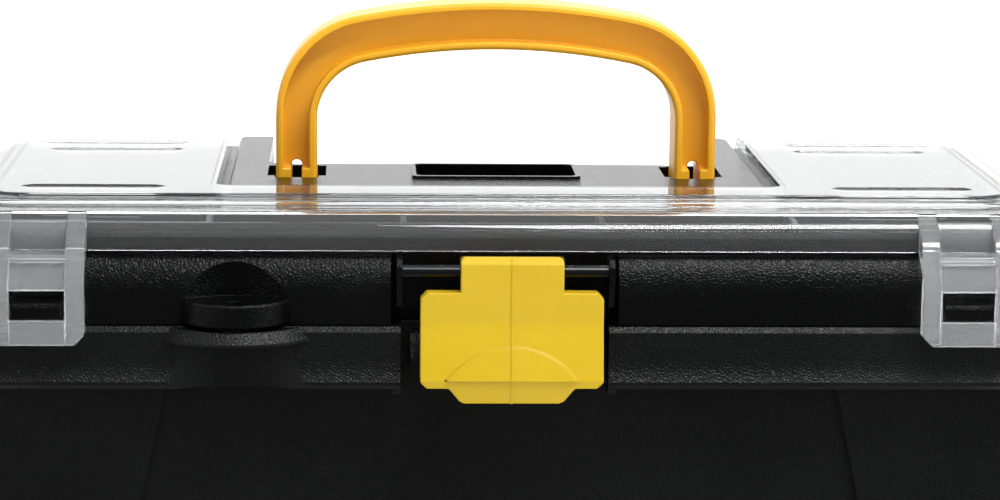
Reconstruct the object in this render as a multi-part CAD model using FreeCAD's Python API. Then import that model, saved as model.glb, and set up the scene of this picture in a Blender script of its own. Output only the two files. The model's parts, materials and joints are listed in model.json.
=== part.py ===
import FreeCAD, Part
import math
import os

Vec = FreeCAD.Vector

# Hard tool case in millimetres. X runs along the case, -Y is the latch side, Z is up.
# The origin is the middle of the resting face under the tub.

# Plan of the case: every ring of the tub, lid and cover keeps the same corner centres,
# so a ring is given by its reach, the distance that it stands out from them.
case_length = 376.0
case_depth = 177.8
lip_reach = 24.0
core_x = case_length / 2 - lip_reach
core_y = case_depth / 2 - lip_reach
front_y = -case_depth / 2

# Common fits and shop values
overrun = 40.0
part_gap = 0.3
slide_gap = 0.4
pin_fit = 0.03
pin_play = 0.06
knuckle_gap = 0.5
fine_round = 3.2
full_round_share = 0.99
knuckle_web_share = 0.9
knuckle_fill_share = 0.4

# Tub
tub_height = 119.5
tub_wall = 2.8
rim_overhang = 10.9
wall_taper = 5.0
rim_height = 20.0
rim_wall = 2.4
rim_lean = 0.7
rim_edge_round = 1.6
lip_height = 6.0
lip_flare = 1.3
lip_edge_round = 0.9
lip_hollow_round = 14.0
wall_top_reach = lip_reach - rim_overhang
wall_foot_reach = wall_top_reach - wall_taper
rim_face_reach = lip_reach - rim_lean
rim_bottom = tub_height - rim_height

# Underside: a resting frame with a cross, and shallow panels between
foot_height = 2.2
foot_width = 9.0
cross_width = 14.0
floor_thickness = 2.8
floor_top = foot_height + floor_thickness

# Sunk panels in the tub walls, wider towards the foot
panel_depth = 1.8
panel_back = 1.6
panel_top_half = 106.6
panel_foot_half = 128.0
end_panel_top_half = 40.0
end_panel_foot_half = 48.0
panel_bottom = 9.0
panel_corner = 3.0

# Gussets between the tub wall and its rim
gusset_thickness = 1.6
gusset_places_share = (-0.86, -0.22, 0.22, 0.46, 0.68, 0.86)
end_gusset_places_share = (-0.75, 0.0, 0.75)

# Latch bay in the front of the tub and the lid
bay_half = 33.1
bay_fin = 2.6
bay_fin_drop = 2.0
catch_half = 30.0
catch_reach = 5.5
catch_drop = 15.0
catch_bottom = tub_height - catch_drop
catch_nose = 3.6
catch_height = 12.5

# Lid skirt and the trough wall of the organiser
lid_set_back = 2.9
lid_bottom = tub_height + part_gap
lid_wall = 2.2
skirt_height = 21.5
skirt_straight = 15.6
skirt_draw_in = 4.7
skirt_round = 18.0
skirt_reach = lip_reach - lid_set_back
ledge_reach = skirt_reach - skirt_draw_in
ledge_top = lid_bottom + skirt_height
bin_wall_reach = 13.5
bin_wall_height = 31.2
bin_wall_top = lid_bottom + bin_wall_height
bin_floor_rise = 6.2
bin_floor_top = lid_bottom + bin_floor_rise
bin_floor_bottom = bin_floor_top - lid_wall
lid_lip_drop = 7.3
lid_lip_wall = 2.0

# Deck, the raised middle of the lid
deck_half = 89.8
deck_front_inset = 47.4
deck_front = front_y + deck_front_inset
deck_back_inset = 11.0
deck_back = case_depth / 2 - deck_back_inset
deck_rise = 36.2
deck_top = lid_bottom + deck_rise
deck_wall = 2.4
deck_corner = 4.0
deck_edge_break = 0.8
shoulder_width = 5.7
shoulder_rise = 32.6
shoulder_top = lid_bottom + shoulder_rise
shoulder_half = deck_half + shoulder_width
shoulder_front = deck_front - shoulder_width + slide_gap
shoulder_back = core_y + bin_wall_reach - lid_wall / 2
shoulder_corner = 1.5

# Recess for the folded handle, between the two arms of the deck
recess_half = 77.7
recess_front = 13.5
recess_floor_rise = 14.2
recess_floor = lid_bottom + recess_floor_rise
recess_corner = 6.0
recess_gate_rise = 25.8
recess_gate = lid_bottom + recess_gate_rise

# Pocket in the deck
pocket_half = 27.0
pocket_front = -17.2
pocket_back = 7.8
pocket_depth = 10.0
pocket_corner = 1.5
pocket_rim_width = 1.5
pocket_rim_height = 1.0

# Organiser
partition = 2.0
partition_rise = 30.2
partition_top = lid_bottom + partition_rise
trough_partition_half = 32.0
divider_thickness = 1.6
divider_height = 24.0
divider_places = (-26.0, 26.0)
divider_side_gap = 0.35
divider_tab_half = 16.0
divider_dip = 6.0
slot_rib = 1.6
slot_rib_reach = 2.6

# Handle
handle_pivot_y = -6.0
handle_pivot_rise = 27.2
handle_pivot_z = lid_bottom + handle_pivot_rise
handle_half = 74.4
handle_rise = 95.6
handle_top = lid_bottom + handle_rise
handle_crown_radius = 243.0
handle_corner_radius = 34.0
grip_height = 15.9
leg_width = 13.8
handle_depth = 20.0
flange_thickness = 2.6
web_thickness = 7.0
handle_edge_break = 1.0
handle_inner_corner = 20.0
channel_end = 12.0
slit_width = 3.6
slit_rise = 41.2
slit_top = lid_bottom + slit_rise
trunnion_radius = 3.6
trunnion_reach = 4.8
leg_side_gap = 0.4
leg_front_gap = 0.4
ear_gap = 3.0
cheek_thickness = 3.0
ear_front = 6.5
ear_back = 15.1

# Clear cover
cover_rise = 38.2
cover_top = lid_bottom + cover_rise
cover_wall = 1.8
cover_set_back = 2.5
cover_bottom_rise = 23.2
cover_bottom = lid_bottom + cover_bottom_rise
cover_reach = skirt_reach - cover_set_back
cover_lean = 0.7
cover_knee_height = 7.2
cover_knee_round = 9.0
shoulder_draw_in = 6.3
shoulder_round = 2.4
flange_drop = 2.8
flange_top = cover_top - flange_drop
flange_width = 7.2
flange_overlap = 1.2
step_height = 1.4
step_inset = 17.5
step_half_x = case_length / 2 - step_inset
step_inset_y = 20.9
step_half_y = case_depth / 2 - step_inset_y
step_corner = 15.0
pad_inset = 22.0
pad_half_x = case_length / 2 - pad_inset
pad_inset_y = 27.4
pad_half_y = case_depth / 2 - pad_inset_y
pad_corner = 11.0
pad_edge_break = 0.5
pad_gap = 3.4
strip_depth = 44.4
strip_back = front_y + strip_depth
window_corner = 4.0
cover_lip_rise = 34.0
cover_lip_bottom = lid_bottom + cover_lip_rise
groove_depth = 0.7
groove_width = 6.4
groove_rows = ((109.5, 156.3, -47.6), (108.0, 155.0, 33.0), (106.5, 160.5, 48.0))

# Snap clips of the cover and their catch blocks on the lid
clip_inset = 40.7
clip_centre = case_length / 2 - clip_inset
clip_half = 14.8
clip_window_half = 8.8
clip_drop = 4.8
clip_bottom = lid_bottom - clip_drop
clip_wall = 2.4
clip_proud = 7.1
clip_front = front_y - clip_proud
clip_top_inset = 10.7
clip_top_front = front_y + clip_top_inset
clip_rise = 34.8
clip_top = lid_bottom + clip_rise
clip_side_depth = 6.5
clip_bow_share = ((0.52, 0.2), (0.9, 0.55))
clip_bow_round_share = 0.25
clip_chamfer = 3.0
clip_window_low_rise = 2.9
clip_window_bottom = lid_bottom + clip_window_low_rise
clip_window_rise = 12.0
clip_window_top = lid_bottom + clip_window_rise
clip_panel_rise = 23.0
clip_panel_top = lid_bottom + clip_panel_rise
clip_panel_back = 1.5
catch_block_half = 7.7
catch_block_proud = 5.0
catch_block_front = front_y - catch_block_proud
catch_block_height = 4.8
catch_block_gap = 0.5
catch_block_nose_share = 0.75
catch_block_root_share = 1.35

# Latch
latch_pivot_inset = 1.4
latch_pivot_y = front_y + latch_pivot_inset
latch_pivot_rise = 17.8
latch_pivot_z = lid_bottom + latch_pivot_rise
latch_rise = 23.7
latch_top = lid_bottom + latch_rise
latch_neck_half = 16.3
latch_shoulder_rise = 11.8
latch_shoulder = lid_bottom + latch_shoulder_rise
latch_half = 29.0
latch_slide = 2.0
latch_drop = 18.4
latch_bottom = lid_bottom - latch_drop
latch_foot_half = 16.0
latch_foot_wide = 20.0
latch_foot_drop = 23.4
latch_foot = lid_bottom - latch_foot_drop
latch_proud = 3.9
latch_front = front_y - latch_proud
latch_kick = 3.8
latch_kick_rise = 1.2
latch_kick_start = lid_bottom + latch_kick_rise
latch_kick_round = 20.0
latch_top_round = 2.0
latch_wall = 2.5
latch_side_depth = 5.5
latch_corner = 2.0
latch_edge_round = 0.9
latch_barrel = 4.3
hook_half = 22.0
hook_drop = 15.3
hook_top = tub_height - hook_drop
hook_thickness = 2.8
hook_inset = 8.6
hook_end = front_y + hook_inset
hook_rib = 2.4
hook_rib_rise = 9.6
thumb_width = 42.0
thumb_rise = 10.6
thumb_depth = 0.7

# Steel pins
latch_pin_radius = 2.0
latch_pin_half = 34.3
ear_thickness = 1.8
ear_inner = 32.7
ear_reach = 3.8
ear_drop = 12.6
bay_end_gap = 1.7

# Lid hinges at the back
lid_hinge_inset = 84.0
lid_hinge_x = case_length / 2 - lid_hinge_inset
lid_hinge_proud = 4.7
lid_hinge_y = case_depth / 2 + lid_hinge_proud
lid_hinge_drop = 1.9
lid_hinge_z = tub_height - lid_hinge_drop
lid_knuckle_radius = 4.2
lid_pin_radius = 1.6
lid_knuckle = 20.0
tub_knuckle = 12.0
hinge_web_drop = 13.5
hinge_web_rise = 13.0

# Cover hinges at the back
cover_hinge_end_inset = 46.0
cover_hinge_x = case_length / 2 - cover_hinge_end_inset
cover_hinge_inset = 0.5
cover_hinge_y = case_depth / 2 - cover_hinge_inset
cover_hinge_rise = 21.4
cover_hinge_z = lid_bottom + cover_hinge_rise
cover_knuckle_radius = 3.3
cover_pin_radius = 1.25
cover_knuckle = 18.0
side_knuckle = 9.0
cover_web_drop = 9.0
cover_web_rise = 5.5

# Padlock eye at the left of the front
eye_x = -85.5
eye_proud = 3.3
eye_y = front_y - eye_proud
eye_hole_radius = 3.2
eye_hole_lead = 0.2
eye_slot_travel = 0.8
lid_eye_radius = 18.6
lid_eye_proud = 8.1
lid_eye_front = front_y - lid_eye_proud
lid_eye_thickness = 8.2
lid_eye_under_break = 1.2
tub_eye_half = 22.9
tub_eye_proud = 9.5
tub_eye_front = front_y - tub_eye_proud
tub_eye_drop = 4.6
tub_eye_bottom = tub_height - tub_eye_drop
tub_eye_edge = 0.9
tub_eye_top = tub_height - part_gap
tub_eye_slope_run = 2.6
eye_edge_break = 0.6
eye_pocket_half = 17.2
eye_pocket_depth = 6.4
eye_pocket_rise = 19.7
eye_pocket_top = lid_bottom + eye_pocket_rise
eye_scoop_half = 18.7
eye_scoop_depth = 5.0
eye_wall = 1.9

# Lift-out tote tray
tray_drop = 44.2
tray_bottom = tub_height - tray_drop
tray_height = 36.7
tray_wall = 2.0
tray_gap_x = 4.5
tray_gap_y = 3.2
tray_corner = 7.0
tray_taper = 2.5
tray_lip = 1.6
tray_lip_height = 3.0
tray_web = 2.4
tray_grip_half = 58.0
tray_grip_rise = 3.0
tray_grip_height = tub_height + tray_grip_rise
tray_grip_corner = 9.0
tray_slot_half = 44.0
tray_slot_height = 13.0
tray_slot_top_gap = 5.5
tray_grip_bar = 7.0
rear_cell_share = (-0.34, 0.34)
front_cell_share = (0.0,)
ledge_rib = 3.0
ledge_rib_reach = 12.0
ledge_top_gap = 0.3
ledge_rows_share = (-0.62, 0.62)


def at(plane, u, v, w):
    if plane == "xy":
        return Vec(u, v, w)
    if plane == "xz":
        return Vec(u, w, v)
    return Vec(w, u, v)


def tangent_arc(before, corner, after):
    # where a rounded corner starts, its middle and where it ends
    px, py, radius = corner
    ax, ay = before[0] - px, before[1] - py
    bx, by = after[0] - px, after[1] - py
    a_len, b_len = math.hypot(ax, ay), math.hypot(bx, by)
    ax, ay, bx, by = ax / a_len, ay / a_len, bx / b_len, by / b_len
    half = math.acos(max(-1, min(1, ax * bx + ay * by))) / 2
    back = radius / math.tan(half)
    mx, my = ax + bx, ay + by
    m_len = math.hypot(mx, my)
    mx, my = mx / m_len, my / m_len
    inset = radius / math.sin(half) - radius
    start = (px + ax * back, py + ay * back)
    middle = (px + mx * inset, py + my * inset)
    end = (px + bx * back, py + by * back)
    return start, middle, end


def offset_line(points, distance):
    # open line of corners moved sideways, positive to the left of its direction,
    # with its round corners kept parallel
    moved = []
    count = len(points)
    for i, point in enumerate(points):
        sides = []
        for j in (i - 1, i):
            if 0 <= j < count - 1:
                dx, dy = points[j + 1][0] - points[j][0], points[j + 1][1] - points[j][1]
                length = math.hypot(dx, dy)
                sides.append((-dy / length, dx / length))
        if len(sides) == 1:
            (nx, ny), = sides
            moved.append((point[0] + nx * distance, point[1] + ny * distance, *point[2:]))
            continue
        (ax, ay), (bx, by) = sides
        scale = distance / (1 + ax * bx + ay * by)
        left_turn = ax * by - ay * bx > 0
        corner = (point[0] + (ax + bx) * scale, point[1] + (ay + by) * scale)
        if len(point) == 3:
            corner += (max(0, point[2] - distance if left_turn else point[2] + distance),)
        moved.append(corner)
    return moved


def outline(points, plane, w):
    # closed wire through corners (u, v) or (u, v, radius); a fine round is cut flat
    edges = []
    count = len(points)
    stops = []
    for i, point in enumerate(points):
        if len(point) == 3 and point[2] > 0:
            stops.append(tangent_arc(points[i - 1], point, points[(i + 1) % count]))
        else:
            stops.append((point[:2], None, point[:2]))
    for i in range(count):
        start, middle, end = stops[i]
        if middle and points[i][2] < fine_round:
            edges.append(Part.LineSegment(at(plane, *start, w), at(plane, *end, w)).toShape())
        elif middle:
            edges.append(Part.Arc(at(plane, *start, w), at(plane, *middle, w), at(plane, *end, w)).toShape())
        a, b = at(plane, *end, w), at(plane, *stops[(i + 1) % count][0], w)
        if a.distanceToPoint(b) > 1e-6:
            edges.append(Part.LineSegment(a, b).toShape())
    return Part.Wire(edges)


def prism(points, plane, start, end):
    # the outline swept along the plane's normal from start to end
    face = Part.Face(outline(points, plane, start))
    origin = at(plane, 0, 0, 0)
    return face.extrude(at(plane, 0, 0, end - start) - origin)


def block(x0, x1, y0, y1, z0, z1):
    return Part.makeBox(x1 - x0, y1 - y0, z1 - z0, Vec(x0, y0, z0))


def rounded(half_x, half_y, radius):
    return [(half_x, -half_y, radius), (half_x, half_y, radius),
            (-half_x, half_y, radius), (-half_x, -half_y, radius)]


def plate(reach, z0, z1):
    # filled plate with the plan of the case at one reach
    return prism(rounded(core_x + reach, core_y + reach, reach), "xy", z0, z1)


def soft_plate(half_x, half_y, radius, z0, z1, edge):
    # plate with its top edge broken
    body = prism(rounded(half_x, half_y, radius), "xy", z0, z1)
    return break_edges(body, edge, lambda e: e.BoundBox.ZMin > z1 - edge / 2)


def break_edges(body, size, chosen):
    return body.makeChamfer(size, [e for e in body.Edges if chosen(e)])


def ring(section):
    # a section (reach, z) swept round the case: four straight sides and four turned corners
    face = Part.Face(outline(section, "xz", 0))
    centres = [(core_x, core_y), (-core_x, core_y), (-core_x, -core_y), (core_x, -core_y)]
    pieces = []
    for k in range(4):
        turned = face.copy()
        turned.rotate(Vec(0, 0, 0), Vec(0, 0, 1), 90 * k)
        here, before = Vec(*centres[k], 0), Vec(*centres[k - 1], 0)
        corner = turned.copy()
        corner.translate(here)
        pieces.append(corner.revolve(here, Vec(0, 0, 1), 90))
        side = turned.copy()
        side.translate(before)
        pieces.append(side.extrude(here - before))
    return join(pieces)


def join(shapes):
    body = shapes[0].multiFuse(shapes[1:]) if len(shapes) > 1 else shapes[0]
    return body.removeSplitter()


def cut(body, tools):
    for tool in tools:
        body = body.cut(tool)
    return body


def rod(x0, x1, y, z, radius):
    return Part.makeCylinder(radius, x1 - x0, Vec(x0, y, z), Vec(1, 0, 0))


def rod_along_y(x, z, y0, y1, radius):
    return Part.makeCylinder(radius, y1 - y0, Vec(x, y0, z), Vec(0, 1, 0))


def flip(shape):
    return shape.mirror(Vec(0, 0, 0), Vec(1, 0, 0))


def flip_back(shape):
    return shape.mirror(Vec(0, 0, 0), Vec(0, 1, 0))


def both(shape):
    return [shape, flip(shape)]


def wall_reach(z):
    # outer face of the tapered tub wall
    return wall_foot_reach + (wall_top_reach - wall_foot_reach) * z / tub_height


def tub_fill(inset, z0, z1):
    # the tub as a solid block, drawn in from the outer face of its wall;
    # its corners keep one radius from foot to rim
    rings = []
    for z in (z0, z1):
        reach = wall_reach(z) - inset
        rings.append(outline(rounded(core_x + reach, core_y + reach, wall_top_reach - inset), "xy", z))
    return Part.makeLoft(rings, True, True)


def tub_shell():
    root = wall_top_reach - tub_wall / 2
    under = tub_height - rim_wall
    rim = ring([
        (root, under),
        (rim_face_reach - rim_wall, under),
        (rim_face_reach - rim_wall, rim_bottom),
        (rim_face_reach, rim_bottom),
        (lip_reach + lip_flare, rim_bottom + lip_height / 3, lip_edge_round),
        (rim_face_reach, rim_bottom + lip_height, lip_hollow_round),
        (rim_face_reach, tub_height, rim_edge_round),
        (root, tub_height),
    ])
    walls = tub_fill(0, 0, tub_height).cut(tub_fill(tub_wall, 0, tub_height))
    return join([walls, rim])


def tub_floor():
    floor = tub_fill(tub_wall / 2, foot_height, floor_top)
    hollow = prism(rounded(core_x + wall_foot_reach - foot_width, core_y + wall_foot_reach - foot_width,
                           foot_width), "xy", 0, foot_height)
    frame = tub_fill(tub_wall / 2, 0, foot_height).cut(hollow)
    across = block(-cross_width / 2, cross_width / 2, -core_y, core_y, 0, foot_height)
    along = block(-core_x, core_x, -cross_width / 2, cross_width / 2, 0, foot_height)
    return [floor, frame, across, along]


def wall_sheet(inner, outer, half, z0, z1):
    # part of the sloping front wall between two distances from its outer face
    def y(z, inset):
        return -(core_y + wall_reach(z) - inset)
    return prism([(y(z0, inner), z0), (y(z0, outer), z0), (y(z1, outer), z1), (y(z1, inner), z1)],
                 "yz", -half, half)


def panel_prism(top_half, foot_half, grow, top, reach):
    bottom = panel_bottom - grow
    return prism([(-foot_half - grow, bottom, panel_corner), (foot_half + grow, bottom, panel_corner),
                  (top_half + grow, top), (-top_half - grow, top)], "xz", -reach, 0)


def front_panel():
    # the recess of the front wall and the thickening behind it
    top = tub_height - rim_wall
    reach = case_depth / 2
    recess = wall_sheet(-panel_depth, panel_depth, core_x, 0, top).common(
        panel_prism(panel_top_half, panel_foot_half, 0, rim_bottom + lip_height, reach))
    backing = wall_sheet(panel_depth, tub_wall + panel_back, core_x, floor_top, top).common(
        panel_prism(panel_top_half, panel_foot_half, panel_depth, rim_bottom + rim_height / 2, reach))
    return recess, backing


def end_panel():
    # the same on an end wall, made on the front and turned
    shift = core_x - core_y
    top = tub_height - rim_wall
    reach = case_depth / 2
    recess = wall_sheet(-panel_depth, panel_depth, core_y, 0, top).common(
        panel_prism(end_panel_top_half, end_panel_foot_half, 0, rim_bottom + lip_height, reach))
    backing = wall_sheet(panel_depth, tub_wall + panel_back, core_y, floor_top, top).common(
        panel_prism(end_panel_top_half, end_panel_foot_half, panel_depth, rim_bottom + rim_height / 2, reach))
    turned = []
    for shape in (recess, backing):
        shape = shape.copy()
        shape.rotate(Vec(0, 0, 0), Vec(0, 0, 1), 90)
        shape.translate(Vec(shift, 0, 0))
        turned.append(shape)
    return turned


def rim_gussets():
    inner = wall_reach(rim_bottom) - tub_wall / 2
    outer = rim_face_reach - rim_wall / 2
    top = tub_height - rim_wall / 2
    shapes = []
    for share in gusset_places_share:
        x = share * core_x
        front = block(x - gusset_thickness / 2, x + gusset_thickness / 2, -core_y - outer, -core_y - inner,
                      rim_bottom + lip_height, top)
        shapes.append(front)
        shapes.append(flip_back(front))
    for share in end_gusset_places_share:
        y = share * core_y
        side = block(core_x + inner, core_x + outer, y - gusset_thickness / 2, y + gusset_thickness / 2,
                     rim_bottom + lip_height, top)
        shapes += both(side)
    return shapes


def bay_cut():
    wall_face = -(core_y + wall_reach(rim_bottom))
    return block(-bay_half, bay_half, -case_depth / 2 - overrun, wall_face, rim_bottom - overrun / 2,
                 tub_height + overrun)


def bay_fins():
    face = core_y + rim_face_reach
    wall = core_y + wall_reach(rim_bottom) - panel_depth - part_gap
    low = rim_bottom - bay_fin_drop
    fin = prism([(-face, low, rim_edge_round), (-wall, low), (-wall, tub_height),
                 (-face, tub_height, rim_edge_round)], "yz", bay_half, bay_half + bay_fin)
    return both(fin)


def latch_catch():
    # sloping ledge that the latch hooks under
    wall = core_y + wall_reach(catch_bottom)
    root = -(wall - tub_wall / 2)
    nose = -(wall + catch_reach)
    return prism([(root, catch_bottom), (nose, catch_bottom), (nose, catch_bottom + catch_nose, catch_nose / 3),
                  (root, catch_bottom + catch_height)], "yz", -catch_half, catch_half)


def tub_eye():
    # half-round ear with a steep front, below the ear of the lid
    face = case_depth / 2 - lid_set_back / 4
    rise = -tub_eye_front - face
    radius = (tub_eye_half ** 2 + rise ** 2) / (2 * rise)
    centre = tub_eye_front + radius
    edge_top = tub_eye_bottom + tub_eye_edge
    disc = Part.makeCylinder(radius, tub_eye_edge, Vec(eye_x, centre, tub_eye_bottom))
    slope = Part.makeCone(radius, radius - tub_eye_slope_run, tub_eye_top - edge_top,
                          Vec(eye_x, centre, edge_top))
    keep = block(eye_x - overrun, eye_x + overrun, -case_depth,
                 -(core_y + wall_reach(tub_eye_bottom) - tub_wall / 2),
                 tub_eye_bottom - overrun, tub_eye_top + overrun)
    return join([disc, slope]).common(keep)


def tub_eye_slot():
    # hole for the shackle, a little longer along the case so that it meets the lid's hole
    low, high = rim_bottom, rim_bottom + overrun
    ends = [Part.makeCylinder(eye_hole_radius, high - low, Vec(eye_x + side * eye_slot_travel, eye_y, low))
            for side in (-1, 1)]
    middle = block(eye_x - eye_slot_travel, eye_x + eye_slot_travel, eye_y - eye_hole_radius,
                   eye_y + eye_hole_radius, low, high)
    return join(ends + [middle])


def eye_scoop():
    # hollow in the rim below the ear, and the wall that backs it
    face = core_y + rim_face_reach
    radius = (eye_scoop_half ** 2 + eye_scoop_depth ** 2) / (2 * eye_scoop_depth)
    centre = -(face - eye_scoop_depth + radius)
    low = rim_bottom - overrun / 2
    hollow = Part.makeCylinder(radius, tub_eye_bottom - low, Vec(eye_x, centre, low))
    wall = Part.makeCylinder(radius + rim_wall, tub_height - rim_bottom - rim_wall / 2,
                             Vec(eye_x, centre, rim_bottom))
    keep = block(eye_x - overrun, eye_x + overrun, -face + rim_wall / 2, 0, low, tub_height)
    return hollow, wall.common(keep)


def tray_ledges():
    # ribs in the tub that the tray stands on
    top = tray_bottom - ledge_top_gap
    inner_x = core_x + wall_foot_reach - tub_wall - ledge_rib_reach
    inner_y = core_y + wall_foot_reach - tub_wall - ledge_rib_reach
    shapes = []
    for share in ledge_rows_share:
        y = share * core_y
        shapes += both(block(inner_x, case_length / 2, y - ledge_rib / 2, y + ledge_rib / 2, floor_top, top))
        x = share * core_x
        long_rib = block(x - ledge_rib / 2, x + ledge_rib / 2, -case_depth / 2, -inner_y, floor_top, top)
        shapes += [long_rib, flip_back(long_rib)]
    inside = tub_fill(panel_depth + part_gap, floor_top, top)
    return [shape.common(inside) for shape in shapes]


def hinge_spans(centre, middle, side):
    # x spans of the outer knuckles and of the middle one
    inner = middle / 2 + knuckle_gap
    return ((centre - inner - side, centre - inner), (centre + inner, centre + inner + side)), \
        (centre - middle / 2, centre + middle / 2)


def tub_knuckles():
    outer_spans, _ = hinge_spans(lid_hinge_x, lid_knuckle, tub_knuckle)
    face = core_y + rim_face_reach - rim_wall / 2
    y, z, r = lid_hinge_y, lid_hinge_z, lid_knuckle_radius
    shapes = []
    for x0, x1 in outer_spans:
        web = prism([(face, tub_height - rim_edge_round), (face, z - hinge_web_drop), (y + r, z),
                     (y, z + r * knuckle_web_share)], "yz", x0, x1)
        shapes += [web, rod(x0, x1, y, z, r)]
    return join(shapes), rod(lid_hinge_x - overrun, lid_hinge_x + overrun, y, z, lid_pin_radius + pin_fit)


def base_tub():
    recess, backing = front_panel()
    end_recess, end_backing = end_panel()
    hollow, scoop_wall = eye_scoop()
    knuckles, bore = tub_knuckles()
    body = join([tub_shell()] + tub_floor() + rim_gussets() + [scoop_wall])
    body = cut(body, [bay_cut(), recess, flip_back(recess)] + both(end_recess) + [hollow])
    added = [backing, flip_back(backing), latch_catch(), tub_eye()] + both(end_backing)
    body = join([body] + added + bay_fins() + tray_ledges() + both(knuckles))
    return cut(body, both(bore) + [tub_eye_slot()])


def skirt_points(inset):
    # outer face of the lid skirt from its free edge up to the ledge, or the same face set in by a wall
    return offset_line([(skirt_reach, lid_bottom), (skirt_reach, lid_bottom + skirt_straight, skirt_round),
                        (ledge_reach, ledge_top)], inset)


def lid_shell():
    outer = skirt_points(0)
    inner = [point[:2] for point in skirt_points(lid_wall)]
    return ring(outer + [
        (bin_wall_reach, ledge_top),
        (bin_wall_reach, bin_wall_top),
        (bin_wall_reach - lid_wall, bin_wall_top),
        (bin_wall_reach - lid_wall, bin_floor_bottom),
        (bin_wall_reach, bin_floor_bottom),
        (bin_wall_reach, inner[-1][1]),
    ] + inner[::-1])


def lid_floor():
    # floor of the bins, with a lip below each side that centres the lid in the tub
    floor = plate(bin_wall_reach - lid_wall / 2, bin_floor_bottom, bin_floor_top)
    reach = wall_top_reach - tub_wall - slide_gap - part_gap
    low = bin_floor_bottom - lid_lip_drop
    front = block(-core_x, core_x, -core_y - reach, -core_y - reach + lid_lip_wall, low, bin_floor_top)
    end = block(core_x + reach - lid_lip_wall, core_x + reach, -core_y, core_y, low, bin_floor_top)
    return [floor, front, flip_back(front)] + both(end)


def deck_outline(inset, front, half, back, corner):
    return [(half - inset, front + inset, corner), (half - inset, back - inset, corner),
            (-half + inset, back - inset, corner), (-half + inset, front + inset, corner)]


def deck_block():
    low = prism(deck_outline(0, shoulder_front, shoulder_half, shoulder_back, shoulder_corner), "xy",
                bin_floor_bottom, shoulder_top)
    high = prism(deck_outline(0, deck_front, deck_half, deck_back, deck_corner), "xy", bin_floor_top, deck_top)
    high = break_edges(high, deck_edge_break, lambda e: e.BoundBox.ZMin > deck_top - deck_wall / 2)
    return [low, high]


def deck_hollow():
    low = prism(deck_outline(deck_wall, shoulder_front, shoulder_half, shoulder_back, shoulder_corner), "xy",
                bin_floor_bottom - overrun, shoulder_top - deck_wall)
    high = prism(deck_outline(deck_wall, deck_front, deck_half, deck_back, deck_corner - deck_wall), "xy",
                 bin_floor_top, deck_top - deck_wall)
    return [low, high]


def recess_shapes():
    back = core_y + bin_wall_reach - lid_wall
    top = deck_top - deck_wall / 2
    well = block(-recess_half - deck_wall, recess_half + deck_wall, recess_front - deck_wall,
                 back + lid_wall / 2, recess_floor - deck_wall, top)
    room = prism([(recess_half, recess_front, recess_corner), (recess_half, back), (-recess_half, back),
                  (-recess_half, recess_front, recess_corner)], "xy", recess_floor, deck_top + overrun)
    gate = block(-recess_half, recess_half, back - lid_wall, back + overrun, recess_gate, deck_top + overrun)
    return well, [room, gate]


def slot_shapes():
    # well round one leg of the handle, with the cheeks that hold its trunnions
    inner = handle_half - leg_width
    low, top = recess_floor, deck_top + overrun
    front = handle_pivot_y - handle_depth / 2 - leg_front_gap
    ear_y0, ear_y1 = handle_pivot_y - ear_front, handle_pivot_y + ear_back
    ear_x0, ear_x1 = inner - ear_gap, handle_half + ear_gap
    well = block(ear_x0 - cheek_thickness, ear_x1 + cheek_thickness, front - deck_wall, recess_front,
                 low - deck_wall, deck_top - deck_wall / 2)
    leg = block(inner - leg_side_gap, handle_half + leg_side_gap, front, recess_front + deck_wall, low, top)
    ears = block(ear_x0, ear_x1, ear_y0, ear_y1, low, top)
    hole = rod(inner - trunnion_reach - part_gap, handle_half + trunnion_reach + part_gap,
               handle_pivot_y, handle_pivot_z, trunnion_radius + pin_play)
    return well, [leg, ears, hole]


def pocket_shapes():
    def box(grow, z0, z1):
        middle = (pocket_front + pocket_back) / 2
        half_y = (pocket_back - pocket_front) / 2
        shape = prism(rounded(pocket_half + grow, half_y + grow, pocket_corner), "xy", z0, z1)
        shape.translate(Vec(0, middle, 0))
        return shape
    floor = deck_top - pocket_depth
    well = box(deck_wall, floor - deck_wall, deck_top - deck_wall / 2)
    rim = box(pocket_rim_width, deck_top - deck_wall / 2, deck_top + pocket_rim_height)
    return [well, rim], box(0, floor, deck_top + overrun)


def trough_walls():
    # fixed partitions of the organiser
    front = -(core_y + bin_wall_reach - lid_wall / 2)
    back = shoulder_front + deck_wall / 2
    corner = block(shoulder_half - partition, shoulder_half, front, back, bin_floor_top, partition_top)
    middle = block(trough_partition_half - partition / 2, trough_partition_half + partition / 2, front, back,
                   bin_floor_top, partition_top)
    return both(corner) + both(middle)


def divider_slots():
    shapes = []
    outer = core_x + bin_wall_reach - lid_wall
    for place in divider_places:
        for side in (-1, 1):
            near = divider_thickness / 2 + divider_side_gap / 2
            y0, y1 = sorted((place + side * near, place + side * (near + slot_rib)))
            for x0, x1 in ((shoulder_half - deck_wall / 2, shoulder_half + slot_rib_reach),
                           (outer - slot_rib_reach, outer + lid_wall / 2)):
                shapes += both(block(x0, x1, y0, y1, bin_floor_top, partition_top))
    return shapes


def lid_bay():
    # opening of the lid skirt for the latch, its end walls and the ears for the rod
    wall_face = -(core_y + bin_wall_reach)
    end = ear_inner + ear_thickness + bay_end_gap
    opening = block(-end, end, -case_depth, wall_face, lid_bottom - overrun, ledge_top + part_gap)
    fill = skirt_fill(end, end + lid_wall)
    y, z, r = latch_pivot_y, latch_pivot_z, ear_reach
    ear = prism([(wall_face + lid_wall / 2, z - ear_drop), (y, z - ear_drop, r), (y - r, z - r, r),
                 (y - r, z + r, r / 2), (wall_face + lid_wall / 2, z + r)], "yz",
                ear_inner, ear_inner + ear_thickness)
    hole = rod(-ear_inner - overrun / 2, ear_inner + overrun / 2, y, z, latch_pin_radius + pin_fit)
    return opening, both(fill) + both(ear), hole


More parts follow.
